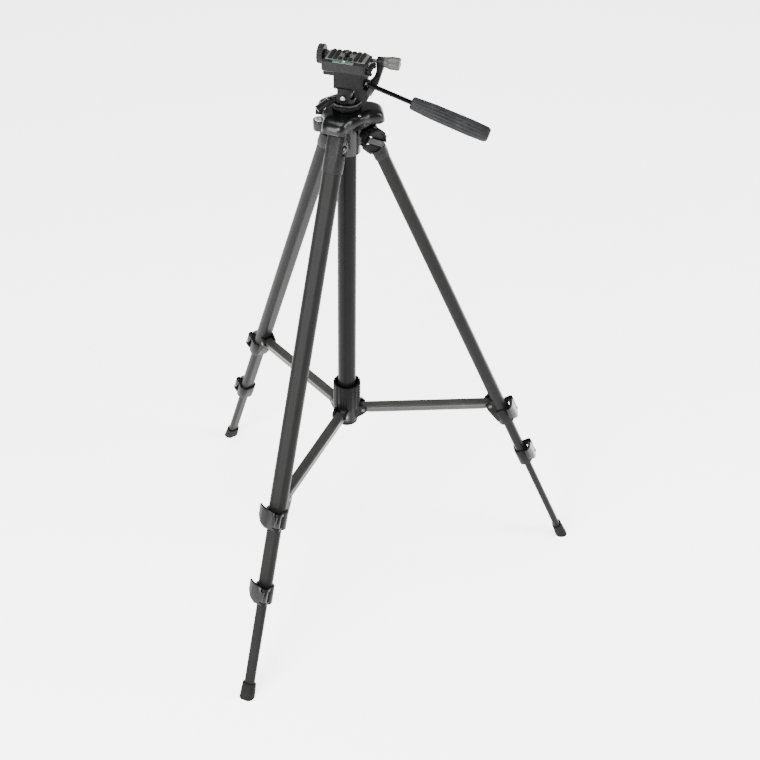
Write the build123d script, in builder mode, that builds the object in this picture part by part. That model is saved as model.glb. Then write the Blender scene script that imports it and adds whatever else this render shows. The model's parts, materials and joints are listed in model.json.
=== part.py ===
from build123d import *
import os
from math import cos, pi, radians, sin

# Driving dimensions, in millimetres and degrees.
# The origin is on the floor under the middle of the object's box, the column stands to the left of it.
column_x = -82.0
legs = {"right": 0, "left": 120, "front": 240}      # azimuth of each leg about the column
splay = 22.8                # angle of an open leg from the column
pivot_r = 32.0              # leg pivot, from the column's axis
pivot_z = 703.1             # leg pivot, above the floor
running = 0.06              # radial clearance of a pin that turns in its hole
gap = 0.4                   # clearance between faces that pass each other

# Leg sections: width across, depth outwards, corner radius, wall
upper_size = (24.0, 17.0, 7.5, 1.2)
middle_size = (19.7, 13.4, 5.8, 1.1)
lower_size = (14.6, 9.2, 4.1, 1.0)
tube_top = 13.0             # distances along the leg, from its pivot
upper_collar_top = 484.5
lower_collar_top = {"right": 570.5, "left": 608.5, "front": 593.5}
collar_height = 26.0
collar_socket = 16.0        # how deep a tube sits in its lock collar
collar_wall = 3.0
lever_rise = 4.5            # lever's trunnions, outwards from the collar's face
lever_inset = 2.5           # and inwards from the tube's side
trunnion_radius = 2.0
paddle_rise = 4.0           # how far a lever's paddle stands above its collar
paddle_height = 29.0
middle_length = 440.0
lower_length = 430.0
foot_top = 742.0
foot_socket = 15.0
sleeve_end = 32.0
fitting_half = 13.2         # half width of a leg's top fitting
tongue_half = 6.5
tongue_radius = 6.4
cover_inner = 6.5           # inner face of the fitting's cover, outwards from the pivot
cover_top = -14.0
pivot_pin = 2.5

# Spreader
hub_pivot_r = 22.0
hub_pivot_z = 269.0
lug_s = 473.0               # brace pivot on the leg: distance along it, and inwards from its middle
lug_inset = 13.0
brace_width = 14.5
brace_half = 4.0
brace_pin = 2.5
lug_gap = 7.6               # inner face of a clevis ear, from the middle of the clevis
lug_ear = 3.0

# Column
shroud_radius = 12.5
shroud_bore = 11.0
shroud_bottom = 252.0
column_radius = 10.5
column_bore = 7.0
column_bottom = 262.0
column_top = 748.0
rack_lift = 200.0

# Crown
barrel_radius = 17.5
barrel_bottom = 682.0
crown_top = 744.0
roof_bottom = 727.0
roof_top = 738.5
lobe_end = 46.0
lobe_half = 17.5
ear_inner = 7.0
ear_thickness = 4.0

# Crank, with its shaft beside the column
crank_azimuth = 300.0
crank_offset = 13.3
crank_z = 709.4
rack_module = 1.0
pinion_teeth = 9
shaft_radius = 3.0
dial_radius = 16.5
dial_start = 34.0
dial_thickness = 10.0
arm_azimuth = 150.0         # folded crank arm: direction of its hinge on the dial's face

# Head. u runs along the lens axis to the back of the head, v across it.
head_azimuth = -22.4
pan_radius = 19.0
tilt_z = 764.0
tilt_radius = 8.6
block_bottom = 774.0
block_top = 796.0
side_axis_v = 16.0
side_axis_z = 803.2
side_axis_radius = 2.5
platform_length = 56.0
platform_width = 37.0
platform_bottom = 797.5
platform_deck = 806.0
platform_rim = 811.0
plate_top = 811.4
pad_top = 813.4
screw_radius = 3.175        # 1/4 inch camera thread
screw_neck = 2.5
screw_reach = 5.5


def spot(azimuth, out, across, height):
    a = radians(azimuth)
    return (column_x + out * cos(a) - across * sin(a), out * sin(a) + across * cos(a), height)


# A level plane: local X outwards along the azimuth.
def level(height, azimuth=0.0, out=0.0, across=0.0):
    a = radians(azimuth)
    origin = spot(azimuth, out, across, height)
    return Plane(origin=origin, x_dir=(cos(a), sin(a), 0), z_dir=(0, 0, 1))


# An upright plane that faces outwards: local X across, local Y up.
def facing(azimuth, out=0.0, across=0.0, height=0.0):
    a = radians(azimuth)
    origin = spot(azimuth, out, across, height)
    return Plane(origin=origin, x_dir=(-sin(a), cos(a), 0), z_dir=(cos(a), sin(a), 0))


# An upright plane that holds the column's axis: local X outwards, local Y up, extruding towards less across.
def side(azimuth, across=0.0, out=0.0, height=0.0):
    a = radians(azimuth)
    origin = spot(azimuth, out, across, height)
    return Plane(origin=origin, x_dir=(cos(a), sin(a), 0), z_dir=(sin(a), -cos(a), 0))


def leg_spot(azimuth, along, outwards=0.0, across=0.0):
    t = radians(splay)
    out = pivot_r + along * sin(t) + outwards * cos(t)
    return spot(azimuth, out, across, pivot_z - along * cos(t) + outwards * sin(t))


def leg_direction(azimuth):
    a = radians(azimuth)
    t = radians(splay)
    return (sin(t) * cos(a), sin(t) * sin(a), -cos(t))


# Across a leg: local X across, local Y outwards, extruding down the leg.
def leg_section(azimuth, along, outwards=0.0, across=0.0):
    a = radians(azimuth)
    origin = leg_spot(azimuth, along, outwards, across)
    return Plane(origin=origin, x_dir=(-sin(a), cos(a), 0), z_dir=leg_direction(azimuth))


# Along a leg, in its own upright plane: local X down the leg, local Y outwards.
def leg_side(azimuth, across=0.0):
    a = radians(azimuth)
    return Plane(
        origin=leg_spot(azimuth, 0, 0, across), x_dir=leg_direction(azimuth), z_dir=(sin(a), -cos(a), 0)
    )


# Facing a leg from outside: local X across, local Y down the leg, extruding inwards.
def leg_face(azimuth, outwards):
    a = radians(azimuth)
    t = radians(splay)
    inwards = (-cos(t) * cos(a), -cos(t) * sin(a), -sin(t))
    return Plane(origin=leg_spot(azimuth, 0, outwards), x_dir=(-sin(a), cos(a), 0), z_dir=inwards)


def save(part, node):
    part.label = node
    export_step(part, "parts/" + node + ".step")


def tube_along_leg(azimuth, start, end, size):
    width, depth, corner, wall = size
    with BuildPart() as tube:
        with BuildSketch(leg_section(azimuth, start)):
            RectangleRounded(width, depth, corner)
            RectangleRounded(width - 2 * wall, depth - 2 * wall, corner - wall, mode=Mode.SUBTRACT)
        extrude(amount=end - start)
    return tube.part


# The leg's top: a sleeve over the tube, a tongue between the crown's ears and a cover in front of them.
# The tongue's hole is a hook, open inwards and upwards, because the leg leaves this pivot as it folds.
def top_fitting(azimuth):
    width, depth, corner, wall = upper_size
    hook_run = 40.0
    hook_x = -0.775
    hook_y = -0.632
    hook_end = 6.5
    eye = pivot_pin + 0.15
    with BuildPart() as fitting:
        with BuildSketch(leg_side(azimuth)):
            Circle(tongue_radius)
            with Locations((tube_top / 2, 0)):
                Rectangle(tube_top, 2 * tongue_radius)
        extrude(amount=tongue_half, both=True)
        with BuildSketch(leg_side(azimuth)):
            with Locations(((cover_top + tube_top) / 2, (cover_inner + depth / 2 + 1.2) / 2)):
                Rectangle(tube_top - cover_top, depth / 2 + 1.2 - cover_inner)
        extrude(amount=fitting_half, both=True)
        with BuildSketch(leg_section(azimuth, cover_top)):
            RectangleRounded(2 * fitting_half, depth + 2.4, corner + 1.2)
        extrude(amount=sleeve_end - cover_top, mode=Mode.INTERSECT)
        with BuildSketch(leg_section(azimuth, tube_top - 4)):
            RectangleRounded(2 * fitting_half, depth + 2.4, corner + 1.2)
        extrude(amount=sleeve_end - tube_top + 4)
        with BuildSketch(leg_section(azimuth, tube_top)):
            RectangleRounded(width, depth, corner)
            RectangleRounded(width - 2 * wall, depth - 2 * wall, corner - wall, mode=Mode.SUBTRACT)
        extrude(amount=sleeve_end - tube_top, mode=Mode.SUBTRACT)
        with BuildSketch(leg_side(azimuth)):
            Circle(eye)
            with BuildLine():
                Polyline(
                    (eye * hook_y, -eye * hook_x),
                    (hook_run * hook_x + hook_end * hook_y, hook_run * hook_y - hook_end * hook_x),
                    (hook_run * hook_x - hook_end * hook_y, hook_run * hook_y + hook_end * hook_x),
                    (-eye * hook_y, eye * hook_x),
                    close=True,
                )
            make_face()
        extrude(amount=tongue_half + 1, both=True, mode=Mode.SUBTRACT)
    return fitting.part


# A lock collar: socket for the upper tube, running bore for the lower one, two ears for the lever.
def lock_collar(azimuth, top, outer, inner, with_lug):
    width, depth, corner = outer[:3]
    thin_width, thin_depth, thin_corner = inner[:3]
    body = collar_wall
    half_depth = depth / 2 + body
    ear = 4.0
    ear_out = half_depth + lever_rise
    lever_x = width / 2 - lever_inset
    socket_start = lug_s - 40 if with_lug else top
    with BuildPart() as collar:
        with BuildSketch(leg_section(azimuth, top)):
            RectangleRounded(width + 2 * body, depth + 2 * body, corner + body)
        extrude(amount=collar_height)
        chamfer(collar.edges().group_by(Axis(leg_spot(azimuth, 0), leg_direction(azimuth)))[0], length=1.2)
        for start in (1.0, collar_height - 1.0 - ear):
            with BuildSketch(leg_section(azimuth, top + start)):
                with Locations((lever_x, depth / 4 + ear_out / 2)):
                    Rectangle(8.4, ear_out - depth / 2)
                with Locations((lever_x, ear_out)):
                    Circle(4.2)
            extrude(amount=ear)
        with BuildSketch(leg_section(azimuth, top)):
            with Locations((lever_x, ear_out)):
                Circle(trunnion_radius + running)
        extrude(amount=collar_height, mode=Mode.SUBTRACT)
        if with_lug:
            for across in (lug_gap + lug_ear, -lug_gap):
                with BuildSketch(leg_side(azimuth, across)):
                    with BuildLine():
                        Polyline(
                            (lug_s - 9, -5),
                            (lug_s - 8, -10),
                            (lug_s - 4, -lug_inset - 3.5),
                            (lug_s + 4, -lug_inset - 5.5),
                            (top + 20, -12),
                            (top + 20, -5),
                            close=True,
                        )
                    make_face()
                    with Locations((lug_s, -lug_inset)):
                        Circle(5.6)
                extrude(amount=lug_ear)
            with BuildSketch(leg_side(azimuth, 20)):
                with Locations((lug_s, -lug_inset)):
                    Circle(brace_pin)
            extrude(amount=40, mode=Mode.SUBTRACT)
            with BuildSketch(leg_side(azimuth)):
                with Locations((lug_s, -lug_inset)):
                    Circle(6.2)
            extrude(amount=lug_gap, both=True, mode=Mode.SUBTRACT)
        with BuildSketch(leg_section(azimuth, socket_start)):
            RectangleRounded(width, depth, corner)
        extrude(amount=top + collar_socket - socket_start, mode=Mode.SUBTRACT)
        with BuildSketch(leg_section(azimuth, top)):
            RectangleRounded(thin_width + 2 * gap, thin_depth + 2 * gap, thin_corner + gap)
        extrude(amount=collar_height, mode=Mode.SUBTRACT)
    return collar.part


# A flip lever: a pivot block on two moulded trunnions, and a paddle that stands over the collar's outer face.
def lock_lever(azimuth, top, outer):
    width, depth = outer[:2]
    half_depth = depth / 2 + collar_wall
    lever_x = width / 2 - lever_inset
    lever_y = half_depth + lever_rise
    far = width / 2 + collar_wall
    root = (lever_x, lever_y + 4.0)
    heel = (lever_x, lever_y - 3.4)
    tip = (-far - 6.5, half_depth - 1.0)
    tip_back = (-far - 5.5, half_depth - 4.5)
    paddle_edge = lever_x - 5.2
    paddle_end = top + paddle_height - paddle_rise
    block_start = top + 5.0 + gap
    block_end = top + collar_height - 5.0 - gap
    with BuildPart() as lever:
        with BuildSketch(leg_section(azimuth, top - paddle_rise)):
            with BuildLine():
                Spline(root, (-2, half_depth + 6.6), (-far + 2, half_depth + 4.5), tip)
                Line(tip, tip_back)
                Spline(tip_back, (-far + 1, half_depth + 0.6), (-2, half_depth + 1.9), heel)
                Line(heel, root)
            make_face()
        extrude(amount=paddle_height)
        with BuildSketch(leg_face(azimuth, half_depth + 15)):
            with BuildLine():
                Polyline(
                    (lever_x + 6, block_start), (paddle_edge, block_start), (paddle_edge, top + 1),
                    (-far - 7, top - paddle_rise), (-far - 7, top + 10), (-far - 1, top + 20),
                    (-far + 7, paddle_end), (paddle_edge, paddle_end), (paddle_edge, block_end),
                    (lever_x + 6, block_end), close=True,
                )
            make_face()
        extrude(amount=30, mode=Mode.INTERSECT)
        with BuildSketch(leg_section(azimuth, block_start)):
            with Locations((lever_x, lever_y)):
                Circle(4.0)
        extrude(amount=block_end - block_start)
        with BuildSketch(leg_section(azimuth, top + 2.0)):
            with Locations((lever_x, lever_y)):
                Circle(trunnion_radius)
        extrude(amount=collar_height - 4.0)
    return lever.part


def brace_pin_part(plane, middle):
    with BuildPart() as pin:
        with BuildSketch(plane):
            with Locations(middle):
                Circle(brace_pin)
        extrude(amount=lug_gap + lug_ear, both=True)
    return pin.part


# A rubber shoe with a flat sole, cut by the floor.
def foot(azimuth):
    width, depth, corner = lower_size[:3]
    with BuildPart() as shoe:
        with BuildSketch(leg_section(azimuth, foot_top)):
            RectangleRounded(width + 4.4, depth + 4.4, corner + 2.2)
        with BuildSketch(leg_section(azimuth, foot_top + 46)):
            RectangleRounded(width + 9.4, depth + 9.4, corner + 4.7)
        loft()
        with BuildSketch(leg_section(azimuth, foot_top)):
            RectangleRounded(width, depth, corner)
        extrude(amount=foot_socket, mode=Mode.SUBTRACT)
        split(bisect_by=Plane.XY, keep=Keep.TOP)
    return shoe.part


def brace(azimuth):
    lug = leg_spot(azimuth, lug_s, -lug_inset)
    hub = spot(azimuth, hub_pivot_r, 0, hub_pivot_z)
    run = (Vector(*lug) - Vector(*hub)).length
    a = radians(azimuth)
    frame = Plane(origin=hub, x_dir=Vector(*lug) - Vector(*hub), z_dir=(sin(a), -cos(a), 0))
    with BuildPart() as bar:
        with BuildSketch(frame):
            with BuildLine():
                Polyline(
                    (0, brace_half), (run, brace_half), (run, -brace_half), (run - 12, -brace_half - 1.5),
                    (12, -brace_half - 1.5), (0, -brace_half), close=True,
                )
            make_face()
            with Locations((0, 0), (run, 0)):
                Circle(brace_half)
        extrude(amount=brace_width / 2, both=True)
        with BuildSketch(Plane(origin=hub, x_dir=(-sin(a), cos(a), 0), z_dir=frame.x_dir).offset(-6)):
            with BuildLine():
                half = brace_width / 2
                Polyline(
                    (-half, -6), (half, -6), (half, 2.4), (half - 1.6, 4),
                    (1.6 - half, 4), (-half, 2.4), close=True,
                )
            make_face()
        extrude(amount=run + 12, mode=Mode.INTERSECT)
        with BuildSketch(frame):
            with Locations((run / 2, -brace_half - 1.5)):
                Rectangle(run - 44, 12)
        extrude(amount=brace_width / 2 - 2, both=True, mode=Mode.SUBTRACT)
        with BuildSketch(frame):
            with Locations((0, 0), (run, 0)):
                Circle(brace_pin + running)
        extrude(amount=brace_width, both=True, mode=Mode.SUBTRACT)
    return bar.part


os.makedirs("parts", exist_ok=True)

# The three legs
for name, azimuth in legs.items():
    low_top = lower_collar_top[name]
    upper_end = upper_collar_top + collar_socket
    middle_end = low_top + collar_socket
    lower_end = foot_top + foot_socket
    save(top_fitting(azimuth), name + "_leg_top_fitting")
    save(tube_along_leg(azimuth, tube_top, upper_end, upper_size), name + "_upper_tube")
    save(lock_collar(azimuth, upper_collar_top, upper_size, middle_size, True), name + "_upper_lock_collar")
    save(lock_lever(azimuth, upper_collar_top, upper_size), name + "_upper_lock_lever")
    save(tube_along_leg(azimuth, middle_end - middle_length, middle_end, middle_size), name + "_middle_tube")
    save(lock_collar(azimuth, low_top, middle_size, lower_size, False), name + "_lower_lock_collar")
    save(lock_lever(azimuth, low_top, middle_size), name + "_lower_lock_lever")
    save(tube_along_leg(azimuth, lower_end - lower_length, lower_end, lower_size), name + "_lower_tube")
    save(foot(azimuth), name + "_foot")
    save(brace_pin_part(leg_side(azimuth), (lug_s, -lug_inset)), name + "_brace_pin")
    save(brace(azimuth), name + "_brace")

# Spreader hub: a ribbed collar that slides on the shroud, with a clevis for each brace
hub_bottom = 252.3
hub_shoulder = 275.0
hub_top = 315.0
hub_radius = 19.0
with BuildPart() as brace_hub:
    with BuildSketch(level(hub_bottom)):
        Circle(15.6)
    extrude(amount=hub_shoulder - hub_bottom)
    with BuildSketch(level(hub_shoulder)):
        Circle(hub_radius)
        with PolarLocations(hub_radius + 0.4, 18):
            Circle(1.4, mode=Mode.SUBTRACT)
    extrude(amount=hub_top - hub_shoulder)
    for azimuth in legs.values():
        for across in (lug_gap + lug_ear, -lug_gap):
            with BuildSketch(side(azimuth, across)):
                with BuildLine():
                    Polyline((12, 256), (22, 262), (27, 267), (27, 272), (22, 277), (12, 277), close=True)
                make_face()
                with Locations((hub_pivot_r, hub_pivot_z)):
                    Circle(5.2)
            extrude(amount=lug_ear)
    for azimuth in legs.values():
        with BuildSketch(side(azimuth)):
            with Locations((hub_pivot_r + 8, hub_pivot_z)):
                Rectangle(28, 2 * (hub_shoulder - hub_pivot_z) + 4)
            with BuildLine():
                Polyline((17.3, 250), (35, 250), (35, 277.5), (17.3, 275), close=True)
            make_face()
        extrude(amount=lug_gap, both=True, mode=Mode.SUBTRACT)
        with BuildSketch(side(azimuth, 20)):
            with Locations((hub_pivot_r, hub_pivot_z)):
                Circle(brace_pin)
        extrude(amount=40, mode=Mode.SUBTRACT)
    with BuildSketch(level(hub_bottom)):
        Circle(shroud_radius + gap)
    extrude(amount=hub_top - hub_bottom, mode=Mode.SUBTRACT)
    with BuildSketch(level(hub_top)):
        Circle(15.8)
    extrude(amount=-22, taper=4, mode=Mode.SUBTRACT)
save(brace_hub.part, "brace_hub")

with BuildPart() as hub_pins:
    for azimuth in legs.values():
        with BuildSketch(side(azimuth)):
            with Locations((hub_pivot_r, hub_pivot_z)):
                Circle(brace_pin)
        extrude(amount=lug_gap + lug_ear, both=True)
save(hub_pins.part, "hub_pins")

# Column shroud, fixed in the crown, with a stop ring under the hub
shroud_top = 700.0
with BuildPart() as column_shroud:
    with BuildSketch(level(shroud_bottom - 5)):
        Circle(shroud_radius)
        Circle(shroud_bore, mode=Mode.SUBTRACT)
    extrude(amount=shroud_top - shroud_bottom + 5)
save(column_shroud.part, "column_shroud")

with BuildPart() as shroud_end_stop:
    with BuildSketch(level(shroud_bottom - 5)):
        Circle(15.2)
        Circle(shroud_radius, mode=Mode.SUBTRACT)
    extrude(amount=5)
    chamfer(shroud_end_stop.faces().sort_by(Axis.Z)[0].outer_wire().edges(), length=1.0)
save(shroud_end_stop.part, "shroud_end_stop")

# Centre column with a toothed rack cut into its side
rack_azimuth = crank_azimuth + 90.0
pinion_radius = rack_module * pinion_teeth / 2
rack_pitch = pi * rack_module
rack_line = crank_offset - pinion_radius
rack_tip = rack_line + 0.9 * rack_module
rack_root = rack_line - 1.15 * rack_module
rack_gaps = int((rack_lift + 12) / rack_pitch) + 1
with BuildPart() as centre_column:
    with BuildSketch(level(column_bottom)):
        Circle(column_radius)
        Circle(column_bore, mode=Mode.SUBTRACT)
    extrude(amount=column_top - column_bottom)
    with BuildSketch(side(rack_azimuth)):
        with Locations((rack_tip + 5, crank_z - rack_lift / 2)):
            Rectangle(10, rack_lift + 30)
    extrude(amount=4.2, both=True, mode=Mode.SUBTRACT)
    with BuildSketch(side(rack_azimuth)):
        for i in range(rack_gaps):
            height = crank_z + (2 - i) * rack_pitch
            with BuildLine():
                Polyline(
                    (rack_tip + 1, height + 1.36), (rack_line, height + 0.95),
                    (rack_root, height + 0.5), (rack_root, height - 0.5),
                    (rack_line, height - 0.95), (rack_tip + 1, height - 1.36), close=True,
                )
            make_face()
    extrude(amount=4.2, both=True, mode=Mode.SUBTRACT)
save(centre_column.part, "centre_column")

# Crown: barrel, a clevis and a lobed hood for each leg, crank boss, level ear
vial_r = 34.0
vial_azimuth = 180.0
vial_top = 729.0
lock_azimuth = 166.0
lock_z = 735.5
lock_knob_start = 31.0
with BuildPart() as crown_casting:
    with BuildSketch(level(barrel_bottom)):
        Circle(barrel_radius)
    extrude(amount=crown_top - barrel_bottom)
    for azimuth in legs.values():
        with BuildSketch(level(roof_bottom, azimuth, lobe_end / 2)):
            RectangleRounded(lobe_end, 2 * lobe_half, 9)
        extrude(amount=roof_top - roof_bottom, taper=14)
    with BuildSketch(level(roof_bottom)):
        Circle(32)
    extrude(amount=crown_top - roof_bottom, taper=28)
    for azimuth in legs.values():
        for across in (ear_inner + ear_thickness, -ear_inner):
            with BuildSketch(side(azimuth, across)):
                with BuildLine():
                    Polyline(
                        (12, 729), (pivot_r - 2, 729), (pivot_r, pivot_z + 15.2),
                        (pivot_r + 4.6, pivot_z + 3.9), (pivot_r, pivot_z - 5), (12, 694), close=True,
                    )
                make_face()
                with Locations((pivot_r, pivot_z)):
                    Circle(5.8)
            extrude(amount=ear_thickness)
    with BuildSketch(facing(crank_azimuth, -9, crank_offset, crank_z)):
        Circle(7.8)
    extrude(amount=18)
    with BuildSketch(facing(crank_azimuth, 0, crank_offset, crank_z)):
        Circle(6.4)
    extrude(amount=dial_start - gap)
    with BuildSketch(level(vial_top - 14, vial_azimuth, vial_r)):
        Circle(8.6)
    extrude(amount=13)
    with BuildSketch(level(vial_top - 14, vial_azimuth, vial_r / 2 + 5)):
        Rectangle(vial_r - 10, 9)
    extrude(amount=11)
    with BuildSketch(facing(lock_azimuth, 10, 0, lock_z)):
        Circle(5.2)
    extrude(amount=lock_knob_start - gap - 10)
    # clearance for each leg's tongue
    for azimuth in legs.values():
        with BuildSketch(level(690, azimuth, pivot_r + 12)):
            Rectangle(2 * (pivot_r + 12 - 24.9), 2 * ear_inner)
        extrude(amount=roof_bottom - 1.5 - 690, mode=Mode.SUBTRACT)
        with BuildSketch(side(azimuth, 20)):
            with Locations((pivot_r, pivot_z)):
                Circle(pivot_pin)
        extrude(amount=40, mode=Mode.SUBTRACT)
    # column bore, shroud socket, crank bore and pinion pocket
    with BuildSketch(level(barrel_bottom)):
        Circle(column_radius + 0.3)
    extrude(amount=crown_top - barrel_bottom, mode=Mode.SUBTRACT)
    with BuildSketch(level(barrel_bottom)):
        Circle(shroud_radius)
    extrude(amount=shroud_top - barrel_bottom, mode=Mode.SUBTRACT)
    with BuildSketch(facing(crank_azimuth, -4.6, crank_offset, crank_z)):
        Circle(6.0)
    extrude(amount=9.2, mode=Mode.SUBTRACT)
    with BuildSketch(facing(crank_azimuth, -8.4, crank_offset, crank_z)):
        Circle(shaft_radius + running)
    extrude(amount=60, mode=Mode.SUBTRACT)
    # seats for the vial and the lock screw
    with BuildSketch(level(vial_top - 5, vial_azimuth, vial_r)):
        Circle(6.5)
    extrude(amount=8, mode=Mode.SUBTRACT)
    with BuildSketch(facing(lock_azimuth, 5, 0, lock_z)):
        Circle(2.5 + running)
    extrude(amount=40, mode=Mode.SUBTRACT)
save(crown_casting.part, "crown_casting")

with BuildPart() as leg_pivot_bolts:
    for azimuth in legs.values():
        ear_outer = ear_inner + ear_thickness
        with BuildSketch(side(azimuth)):
            with Locations((pivot_r, pivot_z)):
                Circle(pivot_pin)
        extrude(amount=ear_outer, both=True)
        for across in (ear_outer + 1.8, -ear_outer):
            with BuildSketch(side(azimuth, across)):
                with Locations((pivot_r, pivot_z)):
                    Circle(4.2)
            extrude(amount=1.8)
save(leg_pivot_bolts.part, "leg_pivot_bolts")

with BuildPart() as level_vial:
    with BuildSketch(level(vial_top - 5, vial_azimuth, vial_r)):
        Circle(6.5)
    extrude(amount=5.4)
    chamfer(level_vial.faces().sort_by(Axis.Z)[-1].edges(), length=0.8)
save(level_vial.part, "level_vial")

with BuildPart() as column_lock_knob:
    with BuildSketch(facing(lock_azimuth, column_radius + 0.5, 0, lock_z)):
        Circle(2.5)
    extrude(amount=lock_knob_start - column_radius + 1)
    with BuildSketch(facing(lock_azimuth, lock_knob_start, 0, lock_z)):
        Circle(4.8)
        with PolarLocations(5.5, 8):
            Circle(1.3, mode=Mode.SUBTRACT)
    extrude(amount=8)
save(column_lock_knob.part, "column_lock_knob")

# Crank: pinion shaft, dial with a folding arm and a spinning grip that nests in the dial
with BuildPart() as crank_shaft:
    with BuildSketch(facing(crank_azimuth, -8, crank_offset, crank_z)):
        Circle(shaft_radius)
    extrude(amount=dial_start + 8 + 4)
    with BuildSketch(facing(crank_azimuth, -4, crank_offset, crank_z)):
        Circle(pinion_radius - 1.1)
        with PolarLocations(pinion_radius, pinion_teeth, start_angle=180):
            Polygon((-1.8, 0.85), (0, 0.55), (0.8, 0.25), (0.8, -0.25), (0, -0.55), (-1.8, -0.85), align=None)
    extrude(amount=8)
save(crank_shaft.part, "crank_shaft")

arm_hinge = 12.0            # folding arm's hinge, from the dial's middle
arm_reach = 11.0            # grip, from the dial's middle on the other side
arm_half = 3.5
arm_thickness = 3.0
dial_end = dial_start + dial_thickness


def dial_direction(angle):
    a = radians(crank_azimuth)
    b = radians(angle)
    return Vector(-sin(a) * cos(b), cos(a) * cos(b), sin(b))


# A point over the dial's face, and a plane there that faces along the arm's hinge.
def dial_spot(radius, angle, out):
    b = radians(angle)
    return spot(crank_azimuth, out, crank_offset + radius * cos(b), crank_z + radius * sin(b))


def dial_offset(radius, angle):
    return (radius * cos(radians(angle)), radius * sin(radians(angle)))


hinge_out = dial_end - arm_thickness / 2
hinge_plane = Plane(
    origin=dial_spot(arm_hinge, arm_azimuth, hinge_out),
    x_dir=dial_direction(arm_azimuth),
    z_dir=dial_direction(arm_azimuth - 90),
)
with BuildPart() as crank_dial:
    with BuildSketch(facing(crank_azimuth, dial_start, crank_offset, crank_z)):
        Circle(dial_radius)
        with PolarLocations(dial_radius + 0.6, 16):
            Circle(1.6, mode=Mode.SUBTRACT)
    extrude(amount=dial_thickness)
    with BuildSketch(facing(crank_azimuth, dial_end, crank_offset, crank_z)):
        Circle(13.6)
    extrude(amount=-2.2, mode=Mode.SUBTRACT)
    with BuildSketch(facing(crank_azimuth, dial_end, crank_offset, crank_z)):
        with Locations(dial_offset(1.5, arm_azimuth)):
            Rectangle(arm_hinge + arm_reach + 11, 2 * arm_half + 4.4, rotation=arm_azimuth)
    extrude(amount=-arm_thickness - 1.2, mode=Mode.SUBTRACT)
    with BuildSketch(facing(crank_azimuth, dial_end, crank_offset, crank_z)):
        with Locations(dial_offset(-arm_reach, arm_azimuth)):
            Circle(5.0)
    extrude(amount=-dial_thickness + 1, mode=Mode.SUBTRACT)
    with BuildSketch(hinge_plane):
        Circle(1.0)
    extrude(amount=dial_radius - 5.5, both=True)
    with BuildSketch(facing(crank_azimuth, dial_start, crank_offset, crank_z)):
        Circle(shaft_radius)
    extrude(amount=4, mode=Mode.SUBTRACT)
save(crank_dial.part, "crank_dial")

with BuildPart() as crank_arm:
    with BuildSketch(facing(crank_azimuth, dial_end - arm_thickness, crank_offset, crank_z)):
        with Locations(dial_offset((arm_hinge - arm_reach) / 2, arm_azimuth)):
            SlotCenterToCenter(arm_hinge + arm_reach, 2 * arm_half, rotation=arm_azimuth)
    extrude(amount=arm_thickness)
    with BuildSketch(hinge_plane):
        Circle(arm_thickness / 2)
        with Locations((arm_half, 0)):
            Rectangle(2 * arm_half, arm_thickness + 2, mode=Mode.SUBTRACT)
    extrude(amount=arm_half, both=True)
    with BuildSketch(hinge_plane):
        with Locations((arm_half + 0.9, 0)):
            Rectangle(2 * arm_half, arm_thickness + 2)
    extrude(amount=arm_half + 1, both=True, mode=Mode.SUBTRACT)
    with BuildSketch(hinge_plane):
        Circle(1.0 + running)
    extrude(amount=arm_half + 1, both=True, mode=Mode.SUBTRACT)
    with BuildSketch(facing(crank_azimuth, dial_end, crank_offset, crank_z)):
        with Locations(dial_offset(-arm_reach, arm_azimuth)):
            Circle(1.5 + running)
    extrude(amount=-arm_thickness, mode=Mode.SUBTRACT)
save(crank_arm.part, "crank_arm")

with BuildPart() as crank_grip:
    with BuildSketch(facing(crank_azimuth, dial_start + 1.4, crank_offset, crank_z)):
        with Locations(dial_offset(-arm_reach, arm_azimuth)):
            Circle(4.0)
    extrude(amount=dial_thickness - arm_thickness - 1.4 - 0.2)
    chamfer(crank_grip.edges().filter_by(GeomType.CIRCLE), length=0.7)
    with BuildSketch(facing(crank_azimuth, dial_start + 1.4, crank_offset, crank_z)):
        with Locations(dial_offset(-arm_reach, arm_azimuth)):
            Circle(1.5)
    extrude(amount=dial_thickness - 1.4)
save(crank_grip.part, "crank_grip")

# Head, from the column's top up
pan_base_bottom = crown_top + 0.5
pan_base_top = 751.0
with BuildPart() as pan_base:
    with BuildSketch(level(pan_base_bottom)):
        Circle(pan_radius)
    extrude(amount=pan_base_top - pan_base_bottom)
    chamfer(pan_base.edges().filter_by(GeomType.CIRCLE), length=0.9)
    with BuildSketch(level(pan_base_bottom)):
        Circle(column_radius)
    extrude(amount=column_top - pan_base_bottom, mode=Mode.SUBTRACT)
    with BuildSketch(level(pan_base_top)):
        Circle(5.0)
    extrude(amount=3)
save(pan_base.part, "pan_base")

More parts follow.
